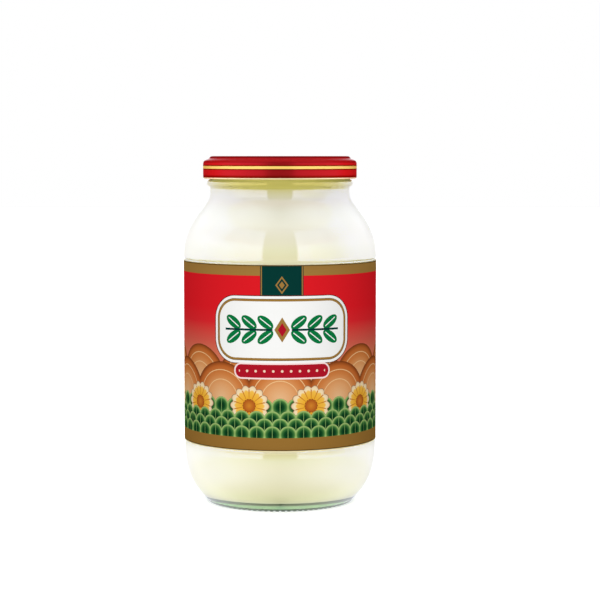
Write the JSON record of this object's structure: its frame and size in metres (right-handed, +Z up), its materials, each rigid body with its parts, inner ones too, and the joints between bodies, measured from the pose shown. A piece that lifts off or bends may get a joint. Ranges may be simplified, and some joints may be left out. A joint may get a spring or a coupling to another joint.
{
  "type": "mayonnaise jar",
  "caption": "Round clear glass jar with a sleeve label and a pressed steel twist-off lid, shut and filled with mayonnaise.",
  "frame": {"origin": "centre of the foot's underside, on the surface that the jar stands on", "axes": "+Z up along the jar's axis, -Y towards the front of the label, +X to the right of the front"},
  "size_m": [0.077, 0.077, 0.1372],
  "materials": {
    "glass": "clear glass, faintly green at its edges",
    "lid": "gloss red enamel with one thin gold line",
    "label": "coated paper with a printed pattern",
    "mayonnaise": "smooth pale cream sauce"
  },
  "bodies": {
    "root": {"glass_jar": "glass", "lid": "lid", "label": "label", "mayonnaise": "mayonnaise"}
  },
  "joints": []
}
